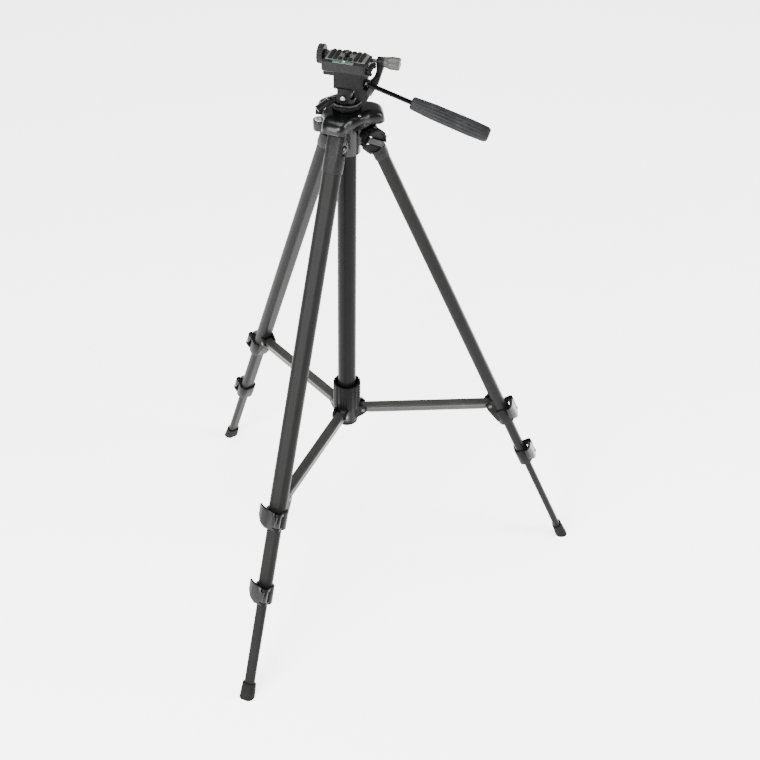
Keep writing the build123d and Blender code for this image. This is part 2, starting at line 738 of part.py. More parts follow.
pan_bottom = pan_base_top + 0.3
pan_ring_top = 754.6
pedestal_half = 12.0
pan_lock_azimuth = 197.0
pan_lock_z = 757.0
with BuildPart() as pan_housing:
    with BuildSketch(level(pan_bottom)):
        Circle(pan_radius)
    extrude(amount=pan_ring_top - pan_bottom)
    with BuildSketch(level(pan_ring_top, head_azimuth)):
        RectangleRounded(2 * pedestal_half + 1, 2 * pedestal_half, 5)
    extrude(amount=760.5 - pan_ring_top)
    with BuildSketch(side(head_azimuth)):
        with Locations((0, tilt_z)):
            Circle(tilt_radius)
        with Locations((0, tilt_z - 5)):
            Rectangle(2 * tilt_radius, 10)
    extrude(amount=pedestal_half, both=True)
    with BuildSketch(side(head_azimuth)):
        with Locations((0, tilt_z)):
            Circle(4.0 + running)
    extrude(amount=pedestal_half, both=True, mode=Mode.SUBTRACT)
    with BuildSketch(facing(pan_lock_azimuth, 10, 0, pan_lock_z)):
        Circle(3.6)
    extrude(amount=11)
    with BuildSketch(level(pan_bottom)):
        Circle(5.0 + running)
    extrude(amount=3.2, mode=Mode.SUBTRACT)
    with BuildSketch(facing(pan_lock_azimuth, 12, 0, pan_lock_z)):
        Circle(2.0 + running)
    extrude(amount=20, mode=Mode.SUBTRACT)
save(pan_housing.part, "pan_housing")

# Wing lever of the pan lock, drooping outwards
wing_drop = 27.0
wing_start = 23.0
wing_length = 19.0
wing_frame = Plane(
    origin=spot(pan_lock_azimuth, wing_start, 0, pan_lock_z),
    x_dir=facing(pan_lock_azimuth).x_dir,
    z_dir=facing(pan_lock_azimuth).z_dir * cos(radians(wing_drop)) - Vector(0, 0, sin(radians(wing_drop))),
)
with BuildPart() as pan_lock_lever:
    with BuildSketch(facing(pan_lock_azimuth, 13, 0, pan_lock_z)):
        Circle(2.0)
    extrude(amount=wing_start - 13 + 2)
    with BuildSketch(facing(pan_lock_azimuth, 21.4, 0, pan_lock_z)):
        Circle(4.6)
    extrude(amount=4.6)
    with BuildSketch(wing_frame):
        Ellipse(5.8, 3.4)
    with BuildSketch(wing_frame.offset(wing_length)):
        Ellipse(7.0, 2.6)
    loft()
save(pan_lock_lever.part, "pan_lock_lever")

# Tilt block: cheeks on the pan housing, box, rear arm and front lug that hold the platform's axis
cheek_inner = pedestal_half + gap
cheek_thickness = 4.0
arm_near = 10.5
arm_far = 20.0
rear_boss = 34.5
rear_boss_end = 42.5
boss_radius = 6.2
lug_start = -33.0
handle_v = -5.0
handle_z = 783.0
handle_slope = 16.7
handle_direction = (
    facing(head_azimuth).z_dir * cos(radians(handle_slope)) - Vector(0, 0, sin(radians(handle_slope)))
)
handle_frame = Plane(
    origin=spot(head_azimuth, 24, handle_v, handle_z), x_dir=facing(head_azimuth).x_dir, z_dir=handle_direction
)
with BuildPart() as tilt_block:
    with BuildSketch(level(block_bottom, head_azimuth, 5, 1)):
        RectangleRounded(38, 30, 3)
    extrude(amount=block_top - block_bottom)
    for across in (cheek_inner + cheek_thickness, -cheek_inner):
        with BuildSketch(side(head_azimuth, across)):
            with Locations((0, tilt_z)):
                Circle(tilt_radius + 0.3)
            with Locations((1, (tilt_z + block_bottom) / 2 + 1)):
                Rectangle(2 * tilt_radius, block_bottom - tilt_z + 2)
        extrude(amount=cheek_thickness)
    with BuildSketch(side(head_azimuth, arm_far)):
        with BuildLine():
            Polyline(
                (rear_boss, 795), (rear_boss, side_axis_z), (rear_boss_end, side_axis_z), (rear_boss_end, 796),
                (35.5, 772), (28, 757.5), (21, 757), (14, 762), (12, 775), (24, 775),
            )
            Spline((24, 775), (30, 782), (rear_boss, 795))
        make_face()
    extrude(amount=arm_far - arm_near)
    with BuildSketch(side(head_azimuth, arm_near)):
        with BuildLine():
            Polyline(
                (13.5, 778), (13.5, 766), (19, 762.6), (27, 758), (31, 767), (29, 775.5), (24, 778), close=True
            )
        make_face()
    extrude(amount=arm_near + 13)
    with BuildSketch(facing(head_azimuth, rear_boss, side_axis_v, side_axis_z)):
        Circle(boss_radius)
    extrude(amount=rear_boss_end - rear_boss)
    with BuildSketch(level(780, head_azimuth, (lug_start - 14) / 2, 12)):
        Rectangle(-14 - lug_start, 10)
    extrude(amount=13)
    with BuildSketch(facing(head_azimuth, lug_start)):
        with Locations((12.5, 790)):
            Rectangle(11, 20)
        with Locations((side_axis_v, side_axis_z)):
            Circle(boss_radius)
        with Locations((14, 800)):
            Rectangle(8, 10)
    extrude(amount=4)
    with BuildSketch(side(head_azimuth)):
        with Locations((0, tilt_z)):
            Circle(4.0)
    extrude(amount=cheek_inner + cheek_thickness + 1.5, both=True)
    with BuildSketch(facing(head_azimuth, -60)):
        with Locations((side_axis_v, side_axis_z)):
            Circle(side_axis_radius + running)
    extrude(amount=120, mode=Mode.SUBTRACT)
    # socket for the handle's rod
    with BuildSketch(handle_frame.offset(2)):
        Circle(3.0 + running)
    extrude(amount=-12, mode=Mode.SUBTRACT)
save(tilt_block.part, "tilt_block")

# Pan handle: rod with a fluted grip, sloping down to the back; its twist locks the tilt
rod_length = 160.0
grip_start = 62.0
grip_end = 165.0
grip_radius = 10.4
with BuildPart() as handle_rod:
    with BuildSketch(handle_frame.offset(-8)):
        Circle(3.0)
    extrude(amount=rod_length + 8.5)
    with BuildSketch(handle_frame.offset(1.5)):
        RegularPolygon(4.6, 6)
    extrude(amount=3.5)
save(handle_rod.part, "handle_rod")

with BuildPart() as handle_grip:
    with BuildSketch(Plane(origin=handle_frame.origin, x_dir=handle_frame.z_dir, z_dir=handle_frame.x_dir)):
        with BuildLine():
            Polyline(
                (grip_start, 3.0), (grip_start, 6.5), (grip_start + 2, 8.0),
                (grip_start + 30, grip_radius - 0.4), (grip_end - 24, grip_radius),
                (grip_end - 3, grip_radius - 1.0), (grip_end, grip_radius - 3.0),
                (grip_end, 0), (rod_length + 0.5, 0), (rod_length + 0.5, 3.0), close=True,
            )
        make_face()
    revolve(axis=Axis(handle_frame.origin, handle_frame.z_dir))
save(handle_grip.part, "handle_grip")

# Platform: tray with a vial along its near edge and a tab for the release lever
platform_half = platform_length / 2
vial_v = -14.8
vial_z = 809.6
vial_radius = 3.2
release_u = 31.4
release_v = -12.0
with BuildPart() as platform:
    with BuildSketch(level(platform_bottom, head_azimuth)):
        RectangleRounded(platform_length, platform_width, 4)
    extrude(amount=platform_rim - platform_bottom)
    chamfer(platform.faces().sort_by(Axis.Z)[0].edges(), length=1.5)
    with BuildSketch(level(platform_deck, head_azimuth, 0, 3.0)):
        Rectangle(platform_length - 4, 28.0)
    extrude(amount=10, mode=Mode.SUBTRACT)
    with BuildSketch(level(platform_rim - 2.5, head_azimuth, 0, 6)):
        Rectangle(platform_length + 2, 34)
    extrude(amount=5, mode=Mode.SUBTRACT)
    with BuildSketch(facing(head_azimuth, -13.5)):
        with Locations((vial_v, vial_z)):
            Circle(vial_radius)
        with Locations((vial_v, vial_z + 3)):
            Rectangle(2 * vial_radius - 0.6, 6)
    extrude(amount=27, mode=Mode.SUBTRACT)
    with BuildSketch(level(platform_bottom, head_azimuth, platform_half - 2, release_v)):
        with Locations((release_u - platform_half + 2, 0)):
            Circle(4.2)
        with Locations(((release_u - platform_half + 2) / 2, 0)):
            Rectangle(release_u - platform_half + 2, 8.4)
    extrude(amount=2)
    with BuildSketch(level(platform_bottom, head_azimuth, release_u, release_v)):
        Circle(1.5)
    extrude(amount=8.5)
    for start in (-platform_half - 1, platform_half - 9):
        with BuildSketch(facing(head_azimuth, start)):
            with Locations((side_axis_v, side_axis_z)):
                Circle(side_axis_radius + running)
        extrude(amount=10, mode=Mode.SUBTRACT)
    with BuildSketch(level(platform_deck, head_azimuth)):
        Circle(9.0)
    extrude(amount=-1.5, mode=Mode.SUBTRACT)
save(platform.part, "platform")

with BuildPart() as platform_vial:
    with BuildSketch(facing(head_azimuth, -13.5)):
        with Locations((vial_v, vial_z)):
            Circle(vial_radius)
    extrude(amount=27)
save(platform_vial.part, "platform_vial")

with BuildPart() as side_tilt_front_knob:
    with BuildSketch(facing(head_azimuth, lug_start - gap, side_axis_v, side_axis_z)):
        Circle(12.5)
        with PolarLocations(13.3, 22):
            Circle(1.5, mode=Mode.SUBTRACT)
    extrude(amount=-7.6)
    with BuildSketch(facing(head_azimuth, lug_start - gap - 7.6, side_axis_v, side_axis_z)):
        Circle(8.5)
    extrude(amount=1.4, mode=Mode.SUBTRACT)
    with BuildSketch(facing(head_azimuth, lug_start - gap - 2, side_axis_v, side_axis_z)):
        Circle(side_axis_radius)
    extrude(amount=2 + gap + 5 + 8)
save(side_tilt_front_knob.part, "side_tilt_front_knob")

with BuildPart() as side_tilt_lock_knob:
    with BuildSketch(facing(head_azimuth, rear_boss_end + gap, side_axis_v, side_axis_z)):
        Circle(5.6)
    extrude(amount=6)
    with BuildSketch(facing(head_azimuth, rear_boss_end + gap + 6, side_axis_v, side_axis_z)):
        Circle(6.6)
        with PolarLocations(5.2, 5):
            Circle(3.2)
    extrude(amount=14)
    with BuildSketch(facing(head_azimuth, platform_half - 8, side_axis_v, side_axis_z)):
        Circle(side_axis_radius)
    extrude(amount=rear_boss_end - platform_half + 10)
save(side_tilt_lock_knob.part, "side_tilt_lock_knob")

with BuildPart() as release_lever:
    with BuildSketch(level(platform_bottom + 2.3, head_azimuth, release_u, release_v)):
        Circle(3.2)
        with Locations((0, 8.5)):
            RectangleRounded(4.6, 17, 1.8)
        with Locations((1.2, 16.5)):
            Circle(3.2)
        Circle(1.5 + running, mode=Mode.SUBTRACT)
    extrude(amount=5.2)
save(release_lever.part, "release_lever")

# Quick-release plate with rubber bars and a captive camera screw
plate_bottom = platform_deck + 0.1
screw_head_top = plate_bottom + 2.4
plate_v = 2.6
with BuildPart() as quick_release_plate:
    with BuildSketch(level(plate_bottom, head_azimuth, 0, plate_v)):
        RectangleRounded(50, 26.6, 3)
    extrude(amount=plate_top - plate_bottom)
    with BuildSketch(level(plate_bottom, head_azimuth, 0, plate_v)):
        Circle(6.3)
    extrude(amount=screw_head_top + 0.2 - plate_bottom, mode=Mode.SUBTRACT)
    with BuildSketch(level(plate_bottom, head_azimuth, 0, plate_v)):
        Circle(screw_radius + running)
    extrude(amount=plate_top - plate_bottom, mode=Mode.SUBTRACT)
save(quick_release_plate.part, "quick_release_plate")

with BuildPart() as plate_pads:
    with BuildSketch(level(plate_top, head_azimuth, 0, plate_v)):
        with GridLocations(6.4, 0, 7, 1):
            RectangleRounded(4.2, 24, 1.0)
        Circle(6.4, mode=Mode.SUBTRACT)
    extrude(amount=pad_top - plate_top)
save(plate_pads.part, "plate_pads")

with BuildPart() as camera_screw:
    with BuildSketch(level(plate_bottom, head_azimuth, 0, plate_v)):
        Circle(6.0)
        Rectangle(14, 1.2, mode=Mode.SUBTRACT)
    extrude(amount=screw_head_top - plate_bottom)
    with BuildSketch(level(plate_bottom + 1.2, head_azimuth, 0, plate_v)):
        Circle(6.0)
    extrude(amount=screw_head_top - plate_bottom - 1.2)
    with BuildSketch(level(plate_bottom + 1.2, head_azimuth, 0, plate_v)):
        Circle(screw_neck)
    extrude(amount=pad_top - plate_bottom - 1.2)
    with BuildSketch(level(pad_top, head_azimuth, 0, plate_v)):
        Circle(screw_radius)
    extrude(amount=screw_reach)
    chamfer(camera_screw.faces().sort_by(Axis.Z)[-1].edges(), length=0.5)
save(camera_screw.part, "camera_screw")
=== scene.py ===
import json
from math import cos, pi, radians, sin

import bmesh
import bpy
from mathutils import Matrix, Vector


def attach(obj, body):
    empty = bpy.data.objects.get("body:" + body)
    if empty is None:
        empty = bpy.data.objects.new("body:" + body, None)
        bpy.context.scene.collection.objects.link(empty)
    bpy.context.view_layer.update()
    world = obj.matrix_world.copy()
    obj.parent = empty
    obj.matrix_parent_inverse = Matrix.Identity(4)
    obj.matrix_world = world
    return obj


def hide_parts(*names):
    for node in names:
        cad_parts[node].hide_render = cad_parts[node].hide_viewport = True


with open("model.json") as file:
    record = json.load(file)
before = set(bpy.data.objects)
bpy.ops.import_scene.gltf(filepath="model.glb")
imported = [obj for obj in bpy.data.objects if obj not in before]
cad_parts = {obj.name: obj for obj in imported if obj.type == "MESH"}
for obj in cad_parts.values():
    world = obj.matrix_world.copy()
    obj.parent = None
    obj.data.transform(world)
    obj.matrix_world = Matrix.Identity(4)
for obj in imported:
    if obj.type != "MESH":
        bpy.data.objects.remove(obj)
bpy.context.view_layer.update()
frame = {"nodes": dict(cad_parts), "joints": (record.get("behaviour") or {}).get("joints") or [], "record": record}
nodes = frame["nodes"]
joints = {joint["name"]: joint for joint in frame["joints"]}
bodyOf = {node: body for body, members in frame["record"]["behaviour"]["bodies"].items() for node in members}
slotOf = {entry["node"]: entry["material_slot"] for entry in frame["record"]["subparts"]}
legNames = ("right", "left", "front")
mm = 0.001
print("frame loaded,", len(nodes), "nodes")


# A node's output that can be calculated with, in a material or a geometry tree.
class Value:
    def __init__(self, tree, socket):
        self.tree = tree
        self.socket = socket

    def calc(self, operation, first, second):
        node = self.tree.nodes.new("ShaderNodeMath")
        node.operation = operation
        for index, item in enumerate((first, second)):
            if isinstance(item, Value):
                self.tree.links.new(item.socket, node.inputs[index])
            else:
                node.inputs[index].default_value = item
        return Value(self.tree, node.outputs[0])

    def __add__(self, other):
        return self.calc("ADD", self, other)

    def __radd__(self, other):
        return self.calc("ADD", other, self)

    def __sub__(self, other):
        return self.calc("SUBTRACT", self, other)

    def __rsub__(self, other):
        return self.calc("SUBTRACT", other, self)

    def __mul__(self, other):
        return self.calc("MULTIPLY", self, other)

    def __rmul__(self, other):
        return self.calc("MULTIPLY", other, self)

    def __truediv__(self, other):
        return self.calc("DIVIDE", self, other)

    def __pow__(self, other):
        return self.calc("POWER", self, other)


# A material being built: its principled shader, and one way to add any node.
class Finish:
    def __init__(self, name):
        self.material = bpy.data.materials.new(name)
        self.material.use_nodes = True
        self.tree = self.material.node_tree
        self.shader = self.tree.nodes["Principled BSDF"]

    def node(self, kind, settings, inputs, out=0):
        made = self.tree.nodes.new(kind)
        for key, setting in settings.items():
            if key == "stops":
                for index, (place, grey) in enumerate(setting):
                    stop = made.color_ramp.elements[index]
                    stop.position = place
                    stop.color = (grey, grey, grey, 1)
            else:
                setattr(made, key, setting)
        self.feed(made, inputs)
        return Value(self.tree, made.outputs[out])

    def feed(self, made, inputs):
        for key, item in inputs.items():
            if isinstance(item, Value):
                self.tree.links.new(item.socket, made.inputs[key])
            else:
                made.inputs[key].default_value = item

    def noise(self, where, scale, detail=3.0, roughness=0.55):
        sizes = {"Vector": where, "Scale": scale, "Detail": detail, "Roughness": roughness}
        return self.node("ShaderNodeTexNoise", {}, sizes, "Fac")

    def place(self):
        return self.node("ShaderNodeTexCoord", {}, {}, "Object")

    # Places with one direction pulled long, for streaks and brushing.
    def along(self, direction, pull):
        turn = Vector(direction).rotation_difference(Vector((0, 0, 1))).to_euler()
        kind = {"vector_type": "POINT"}
        turned = self.node("ShaderNodeMapping", kind, {"Vector": self.place(), "Rotation": turn})
        return self.node("ShaderNodeMapping", kind, {"Vector": turned, "Scale": (1, 1, 1 / pull)})

    def step(self, value, low, high):
        limits = {"Value": value, "From Min": low, "From Max": high}
        return self.node("ShaderNodeMapRange", {"interpolation_type": "SMOOTHSTEP"}, limits)

    def mixed(self, factor, first, second):
        colours = {"Factor": factor}
        made = self.tree.nodes.new("ShaderNodeMix")
        made.data_type = "RGBA"
        self.feed(made, colours)
        for index, item in ((6, first), (7, second)):
            if isinstance(item, Value):
                self.tree.links.new(item.socket, made.inputs[index])
            else:
                made.inputs[index].default_value = (*item, 1)
        return Value(self.tree, made.outputs[2])

    # Convex edges, found from pointiness; paling a colour here paints in a highlight along the edges
    def edges(self, low=0.505, high=0.56):
        return self.step(self.node("ShaderNodeNewGeometry", {}, {}, "Pointiness"), low, high)

    def bump(self, height, distance, strength=1.0, under=None):
        inputs = {"Height": height, "Distance": distance, "Strength": strength}
        if under is not None:
            inputs["Normal"] = under
        return self.node("ShaderNodeBump", {}, inputs)

    def finish(self, colour, roughness, normal=None, metallic=0.0, **fixed):
        self.feed(self.shader, {"Base Color": colour, "Roughness": roughness, "Metallic": metallic})
        if normal is not None:
            self.feed(self.shader, {"Normal": normal})
        for key, setting in fixed.items():
            self.shader.inputs[key.replace("_", " ")].default_value = setting
        return self.material


# Anodised tube: drawn along its length, faintly clouded, rubbed where it slides.
def anodised(name, direction, dark, light, roughness, streaks):
    make = Finish(name)
    cloud = make.noise(make.place(), 22.0, 2.0)
    drawn = make.noise(make.along(direction, 90.0), 900.0, 3.0, 0.6)
    rub = make.step(make.noise(make.along(direction, 30.0), 260.0, 4.0, 0.7), 0.62, 0.8)
    tone = make.mixed(cloud * 0.6 + drawn * 0.4, dark, light)
    worn = tuple(value * 2.2 + 0.004 for value in light)
    colour = make.mixed(rub * streaks, tone, worn)
    rough = roughness + (drawn - 0.5) * 0.16 + (cloud - 0.5) * 0.1
    return make.finish(colour, rough, make.bump(drawn, 0.00005, 0.5), 0.0, Specular_IOR_Level=0.05)


# Moulded plastic: fine grain, slow clouding, edges paled where scuffed, part wear and part painted highlight.
def moulded(name, dark, light, roughness, grain, wear_and_highlight=0.35, coat=0.0, shine=0.07):
    make = Finish(name)
    where = make.place()
    cloud = make.noise(where, 35.0, 2.0)
    fine = make.noise(where, 2600.0, 2.0, 0.5)
    scuff = make.step(make.noise(where, 320.0, 5.0, 0.7), 0.45, 0.75)
    tone = make.mixed(cloud, dark, light)
    # Paler scuffed edges: partly wear, partly painted highlight
    pale_wear_and_highlight = tuple(min(1.0, value * 2.2 + 0.012) for value in light)
    worn_and_lit_edge = make.edges() * scuff
    colour = make.mixed(worn_and_lit_edge * wear_and_highlight, tone, pale_wear_and_highlight)
    rough = roughness + (cloud - 0.5) * 0.12 + (fine - 0.5) * 0.1 - worn_and_lit_edge * 0.1
    normal = make.bump(make.noise(where, 300.0, 2.0), 0.00006, 0.35, make.bump(fine, grain, 0.7))
    gloss = {"Coat_Weight": coat, "Coat_Roughness": 0.12, "Specular_IOR_Level": shine}
    return make.finish(colour, rough, normal, 0.0, **gloss)


# Rubber: matte, paler where dust lies, and paler at its edges as painted highlight.
def rubbery(name, dark, light, roughness, grain):
    make = Finish(name)
    where = make.place()
    fine = make.noise(where, 1900.0, 3.0, 0.6)
    dust = make.step(make.noise(where, 70.0, 4.0, 0.65), 0.4, 0.75)
    # Dust pales the colour; the edge term is painted highlight
    colour = make.mixed(dust * 0.7 + make.edges() * 0.3, dark, light)
    rough = roughness + (fine - 0.5) * 0.14
    return make.finish(colour, rough, make.bump(fine, grain, 0.8), Specular_IOR_Level=0.12)


# Bare or plated metal: brushed one way, smudged, lighter at its edges as painted highlight.
def metal(name, direction, dark, light, roughness, brush):
    make = Finish(name)
    brushed = make.noise(make.along(direction, 25.0), 1500.0, 3.0, 0.6)
    smudge = make.step(make.noise(make.place(), 120.0, 3.0), 0.4, 0.7)
    # Brushing varies the tone; the edge term is painted highlight
    colour = make.mixed(brushed * 0.6 + make.edges() * 0.4, dark, light)
    rough = roughness + (brushed - 0.5) * brush + smudge * 0.08
    return make.finish(colour, rough, make.bump(brushed, 0.00003, 0.4), 1.0)


# Liquid behind clear plastic.
def liquid(name, dark, light):
    make = Finish(name)
    depth = make.noise(make.place(), 160.0, 2.0)
    colour = make.mixed(depth, dark, light)
    rough = 0.16 + make.noise(make.place(), 900.0, 2.0) * 0.08
    gloss = {"Coat_Weight": 0.15, "Coat_Roughness": 0.05, "Specular_IOR_Level": 0.15}
    return make.finish(colour, rough, None, 0.0, **gloss)


up = (0, 0, 1)
legAxis = {name: Vector(joints[name + "_lower_slide"]["axis"]) for name in legNames}
handleAxis = Vector(joints["handle_twist"]["axis"])
finishes = {
    "column_black": anodised(
        "column_anodised", up, (0.0022, 0.0022, 0.0024), (0.0052, 0.0052, 0.0056), 0.34, 0.25,
    ),
    "leg_casting": moulded(
        "casting_charcoal", (0.0045, 0.0045, 0.0048), (0.0095, 0.0095, 0.010), 0.42, 0.00003, 0.4,
    ),
    "black_plastic": moulded(
        "plastic_black", (0.0010, 0.0010, 0.0011), (0.0026, 0.0026, 0.0028), 0.44, 0.00004, 0.3,
    ),
    "gloss_black": moulded(
        "plastic_gloss", (0.0008, 0.0008, 0.0009), (0.0020, 0.0020, 0.0022), 0.25, 0.00001, 0.06, 0.0, 0.2,
    ),
    "brace_grey": moulded(
        "brace_grey", (0.014, 0.014, 0.0135), (0.028, 0.028, 0.027), 0.36, 0.00003, 0.6, 0.0, 0.25,
    ),
    "rubber": rubbery("rubber_black", (0.002, 0.002, 0.002), (0.007, 0.007, 0.0066), 0.78, 0.00006),
    "grip_rubber": rubbery("rubber_grip", (0.006, 0.006, 0.0066), (0.017, 0.017, 0.018), 0.55, 0.00004),
    "grey_plastic": moulded(
        "plastic_grey", (0.022, 0.022, 0.021), (0.042, 0.042, 0.040), 0.42, 0.00003, 0.5, 0.0, 0.2,
    ),
    "dark_steel": metal("steel_dark", up, (0.004, 0.004, 0.005), (0.014, 0.014, 0.015), 0.24, 0.12),
    "steel": metal("steel_plated", up, (0.02, 0.02, 0.02), (0.07, 0.07, 0.07), 0.34, 0.2),
    "chrome": metal("chrome_polished", up, (0.35, 0.35, 0.36), (0.62, 0.62, 0.63), 0.12, 0.06),
    "vial_green": liquid("vial_green", (0.004, 0.022, 0.012), (0.010, 0.050, 0.030)),
    "vial_amber": liquid("vial_amber", (0.18, 0.175, 0.13), (0.30, 0.29, 0.23)),
}
legTube = {
    name: anodised(
        name + "_leg_anodised", legAxis[name], (0.0045, 0.0045, 0.0045), (0.0105, 0.0105, 0.0102), 0.36, 0.4,
    )
    for name in legNames
}
platformFinish = moulded(
    "platform_charcoal", (0.0045, 0.0045, 0.0048), (0.010, 0.010, 0.0105), 0.40, 0.00004, 0.3,
)
# Grey plate with its edges fully paled: a little wear, mostly painted highlight along its frame
plateFinish = moulded(
    "plate_grey", (0.028, 0.028, 0.027), (0.052, 0.052, 0.050), 0.34, 0.00002, 1.0, 0.0, 0.4,
)
bubbleFinish = liquid("bubble_pale", (0.20, 0.34, 0.27), (0.34, 0.48, 0.40))
mark = moulded("mark_black", (0.003, 0.003, 0.003), (0.006, 0.006, 0.006), 0.4, 0.00001)
washerFinish = moulded("washer_red", (0.014, 0.006, 0.0055), (0.030, 0.011, 0.010), 0.5, 0.00003)
print("finishes made")


def finishOf(node):
    if slotOf[node] == "leg_tube":
        return legTube[node.split("_")[0]]
    return finishes[slotOf[node]]


# A new piece at the origin that rides on a body, and may stand for CAD nodes.
def piece(name, mesh, body, material, replaced=()):
    made = bpy.data.objects.new(name, mesh)
    bpy.context.scene.collection.objects.link(made)
    mesh.materials.clear()
    mesh.materials.append(material)
    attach(made, body)
    if replaced:
        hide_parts(*replaced)
    return made


# Runs an object's modifiers, removes the object and returns the plain mesh.
def settled(worker):
    bpy.context.view_layer.update()
    evaluated = worker.evaluated_get(bpy.context.evaluated_depsgraph_get())
    mesh = bpy.data.meshes.new_from_object(evaluated)
    old = worker.data
    bpy.data.objects.remove(worker)
    bpy.data.meshes.remove(old)
    return mesh


# A Geometry Nodes tree being built, with named inputs.
class Shaper:
    def __init__(self, name):
        self.tree = bpy.data.node_groups.new(name, "GeometryNodeTree")
        self.sockets = {}
        self.tree.interface.new_socket("Geometry", in_out="OUTPUT", socket_type="NodeSocketGeometry")
        self.entry = self.tree.nodes.new("NodeGroupInput")
        self.exit = self.tree.nodes.new("NodeGroupOutput")
        self.shape = self.take("Geometry", "Geometry")

    def take(self, name, kind="Float"):
        made = self.tree.interface.new_socket(name, in_out="INPUT", socket_type="NodeSocket" + kind)
        self.sockets[name] = made.identifier
        return Value(self.tree, self.entry.outputs[name])

    def node(self, kind, inputs, out=0, **settings):
        made = self.tree.nodes.new(kind)
        for key, setting in settings.items():
            setattr(made, key, setting)
        for key, item in inputs.items():
            if isinstance(item, Value):
                self.tree.links.new(item.socket, made.inputs[key])
            else:
                made.inputs[key].default_value = item
        return Value(self.tree, made.outputs[out])

    def split(self, where):
        made = self.tree.nodes.new("ShaderNodeSeparateXYZ")
        self.tree.links.new(where.socket, made.inputs[0])
        return [Value(self.tree, socket) for socket in made.outputs]

    def step(self, value, low, high):
        limits = {"Value": value, "From Min": low, "From Max": high}
        return self.node("ShaderNodeMapRange", limits, interpolation_type="SMOOTHSTEP")

    def close(self, shape):
        material = self.take("Material", "Material")
        real = self.node("GeometryNodeRealizeInstances", {"Geometry": shape})
        painted = self.node("GeometryNodeSetMaterial", {"Geometry": real, "Material": material})
        self.tree.links.new(painted.socket, self.exit.inputs[0])
        return self

    def run(self, mesh, inputs):
        worker = bpy.data.objects.new("work", mesh)
        bpy.context.scene.collection.objects.link(worker)
        modifier = worker.modifiers.new("shape", "NODES")
        modifier.node_group = self.tree
        for key, item in inputs.items():
            modifier[self.sockets[key]] = item
        return settled(worker)


# Cuts flutes along a turned shape, between two heights and outside a radius.
def flutedTree():
    make = Shaper("fluted")
    count, depth, sharp = make.take("Flutes"), make.take("Depth"), make.take("Sharpness")
    low, high, ease, inner = make.take("Low"), make.take("High"), make.take("Ease"), make.take("Inner")
    x, y, z = make.split(make.node("GeometryNodeInputPosition", {}))
    radius = (x * x + y * y) ** 0.5
    angle = y.calc("ARCTAN2", y, x) * count
    groove = (angle.calc("COSINE", angle, 0) * 0.5 + 0.5) ** sharp
    window = make.step(z, low, low + ease) * (1.0 - make.step(z, high - ease, high))
    window = window * make.step(radius, inner, inner + 0.0004)
    inward = groove * window * depth * -1.0 / radius.calc("MAXIMUM", radius, 0.00001)
    offset = make.node("ShaderNodeCombineXYZ", {"X": x * inward, "Y": y * inward})
    return make.close(make.node("GeometryNodeSetPosition", {"Geometry": make.shape, "Offset": offset}))


# Repeats a shape along a straight line.
def rowTree():
    make = Shaper("row")
    line = {"Count": make.take("Count", "Int"), "Start Location": make.take("Start", "Vector")}
    line["Offset"] = make.take("Step", "Vector")
    points = make.node("GeometryNodeMeshLine", line)
    return make.close(make.node("GeometryNodeInstanceOnPoints", {"Points": points, "Instance": make.shape}))


# Repeats a shape round Z, its X turned outwards.
def ringTree():
    make = Shaper("ring")
    count, radius = make.take("Count", "Int"), make.take("Radius")
    angle = make.node("GeometryNodeInputIndex", {}) * (2 * pi) / count
    cosine, sine = angle.calc("COSINE", angle, 0), angle.calc("SINE", angle, 0)
    where = make.node("ShaderNodeCombineXYZ", {"X": cosine * radius, "Y": sine * radius})
    line = make.node("GeometryNodeMeshLine", {"Count": count})
    points = make.node("GeometryNodeSetPosition", {"Geometry": line, "Position": where})
    turn = make.node("ShaderNodeCombineXYZ", {"Z": angle})
    copies = {"Points": points, "Instance": make.shape, "Rotation": turn}
    return make.close(make.node("GeometryNodeInstanceOnPoints", copies))


fluted, row, ring = flutedTree(), rowTree(), ringTree()


# An outline with each inner corner rounded off.
def softened(outline, radius, steps=4):
    points = [Vector(point) for point in outline]
    done = [points[0]]
    for before, corner, after in zip(points, points[1:], points[2:]):
        start = corner + (before - corner).normalized() * min(radius, (before - corner).length * 0.45)
        end = corner + (after - corner).normalized() * min(radius, (after - corner).length * 0.45)
        for i in range(steps + 1):
            t = i / steps
            done.append(start * (1 - t) ** 2 + corner * 2 * t * (1 - t) + end * t ** 2)
    return done + [points[-1]]


# A shape turned about Z from an outline of radius and height, in millimetres.
def spun(outline, radius, steps=96):
    work = bmesh.new()
    points = [work.verts.new((point[0] * mm, 0, point[1] * mm)) for point in softened(outline, radius)]
    edges = [work.edges.new(pair) for pair in zip(points, points[1:])]
    bmesh.ops.spin(work, geom=points + edges, axis=(0, 0, 1), cent=(0, 0, 0), angle=2 * pi, steps=steps)
    bmesh.ops.remove_doubles(work, verts=work.verts, dist=0.000002)
    return closed(work)


def closed(work):
    bmesh.ops.recalc_face_normals(work, faces=work.faces)
    mesh = bpy.data.meshes.new("shape")
    work.to_mesh(mesh)
    work.free()
    mesh.shade_smooth()
    mesh.set_sharp_from_angle(angle=radians(40))
    return mesh


# A block with rounded edges, its sizes in millimetres.
def bar(sizes, radius, steps=3):
    work = bmesh.new()
    bmesh.ops.create_cube(work, size=1)
    for corner in work.verts:
        corner.co = Vector(value * size * mm for value, size in zip(corner.co, sizes))
    settings = {"offset": radius * mm, "segments": steps, "affect": "EDGES", "profile": 0.5}
    bmesh.ops.bevel(work, geom=work.edges[:], **settings)
    return closed(work)


# A place in the row frame: outwards from the column along an azimuth, across it, and up.
def spot(azimuth, out, across, height):
    a = radians(azimuth)
    return Vector((columnX + out * cos(a) - across * sin(a), out * sin(a) + across * cos(a), height)) * mm


def outward(azimuth):
    return Vector((cos(radians(azimuth)), sin(radians(azimuth)), 0))


